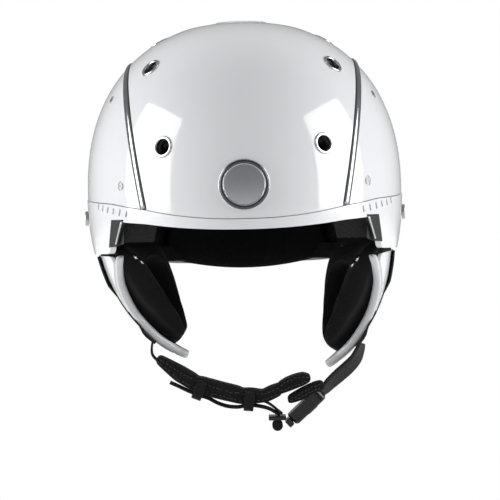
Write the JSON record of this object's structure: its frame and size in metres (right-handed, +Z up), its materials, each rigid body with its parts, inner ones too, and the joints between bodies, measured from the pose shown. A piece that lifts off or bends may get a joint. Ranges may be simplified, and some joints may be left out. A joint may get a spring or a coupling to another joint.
{
  "type": "ski helmet",
  "caption": "Hard shell ski helmet with vented white shell, metal trim strips, foam liner, hinged padded ear cups, padded chin strap with side release buckle and size dial.",
  "frame": {"origin": "centre of the head cavity at the shell's widest level", "axes": "+Z up, the wearer looks along -Y, +X is the wearer's left"},
  "size_m": [0.2364, 0.2848, 0.3014],
  "materials": {
    "shell_white": "high gloss lacquer",
    "rim_white": "high gloss lacquer",
    "cup_white": "gloss",
    "trim_metal": "polished",
    "vent_metal": "polished",
    "badge_rim_metal": "satin",
    "badge_satin_metal": "satin",
    "screw_steel": "satin",
    "button_metal": "satin",
    "snap_metal": "polished",
    "liner_foam": "moulded bead foam",
    "comfort_fabric": "knitted",
    "ear_fabric": "knitted",
    "chin_fabric": "brushed knit",
    "webbing": "woven",
    "black_plastic": "moulded",
    "black_gloss_plastic": "gloss"
  },
  "bodies": {
    "helmet": {"outer_shell": "shell_white", "rim_band": "rim_white", "trim_strip_left": "trim_metal", "trim_strip_right": "trim_metal", "vent_inserts_front": "vent_metal", "vent_inserts_top": "vent_metal", "vent_inserts_rear": "vent_metal", "badge_ring": "badge_rim_metal", "badge_disc": "badge_satin_metal", "panel_screws": "screw_steel", "side_button_left": "button_metal", "side_button_right": "button_metal", "impact_liner": "liner_foam", "brow_pad": "comfort_fabric", "crown_pad": "comfort_fabric", "side_pad_left": "comfort_fabric", "side_pad_right": "comfort_fabric", "nape_pad": "comfort_fabric", "corner_clip_left": "black_gloss_plastic", "corner_clip_right": "black_gloss_plastic", "dial_housing": "black_plastic", "retainer_base": "black_plastic", "retainer_snap": "snap_metal"},
    "ear_left": {"ear_cup_left": "cup_white", "ear_pad_left": "ear_fabric", "ear_webbing_left": "webbing", "ear_snaps_left": "snap_metal"},
    "ear_right": {"ear_cup_right": "cup_white", "ear_pad_right": "ear_fabric", "ear_webbing_right": "webbing", "ear_snaps_right": "snap_metal"},
    "chin_right": {"chin_pad": "chin_fabric", "long_strap": "webbing", "keeper_outer": "webbing", "keeper_inner": "webbing"},
    "male": {"buckle_male": "black_gloss_plastic", "strap_roll": "webbing"},
    "chin_left": {"short_strap": "webbing", "buckle_female": "black_gloss_plastic", "chin_pad_tip": "chin_fabric"},
    "button": {"release_button": "black_plastic"},
    "dial": {"dial_knob": "black_plastic"},
    "band_left": {"fit_band_left": "black_plastic"},
    "band_right": {"fit_band_right": "black_plastic"},
    "retainer": {"retainer_strap": "webbing"}
  },
  "joints": [
    {"name": "ear_left_flex", "type": "hinge", "parent": "helmet", "child": "ear_left", "pos_m": [0.1098, 0, -0.0456], "axis": [0, -1, 0], "range_deg": [0, 25], "stiffness_Nm_per_rad": 0.6},
    {"name": "ear_right_flex", "type": "hinge", "parent": "helmet", "child": "ear_right", "pos_m": [-0.1098, 0, -0.0456], "axis": [0, 1, 0], "range_deg": [0, 30], "stiffness_Nm_per_rad": 0.6},
    {"name": "long_strap_swing", "type": "hinge", "parent": "ear_right", "child": "chin_right", "pos_m": [-0.07, -0.022, -0.1112], "axis": [0, 1, 0], "range_deg": [0, 80]},
    {"name": "short_strap_swing", "type": "hinge", "parent": "ear_left", "child": "chin_left", "pos_m": [0.08137, -0.022, -0.11687], "axis": [0, -1, 0], "range_deg": [0, 90]},
    {"name": "buckle_release", "type": "slide", "parent": "chin_right", "child": "male", "axis": [-0.7431, 0, -0.6691], "range_m": [0, 0.02]},
    {"name": "button_press", "type": "slide", "parent": "chin_left", "child": "button", "axis": [-0.6691, 0, 0.7431], "range_m": [0, 0.0008], "stiffness_N_per_m": 300},
    {"name": "dial_turn", "type": "hinge", "parent": "helmet", "child": "dial", "pos_m": [0, 0.136, -0.047], "axis": [0, 1, 0], "range_deg": [0, 95]},
    {"name": "band_left_slide", "type": "slide", "parent": "helmet", "child": "band_left", "axis": [-1, 0, 0], "range_m": [0, 0.005]},
    {"name": "band_right_slide", "type": "slide", "parent": "helmet", "child": "band_right", "axis": [1, 0, 0], "range_m": [0, 0.005]},
    {"name": "retainer_open", "type": "hinge", "parent": "helmet", "child": "retainer", "pos_m": [0, 0.14526, 0.03924], "axis": [1, 0, 0], "range_deg": [0, 100]}
  ],
  "couplings": [
    {"joint": "dial_turn", "follows": "band_left_slide", "rad_per_m": 331.6},
    {"joint": "band_right_slide", "follows": "band_left_slide", "ratio": 1}
  ]
}
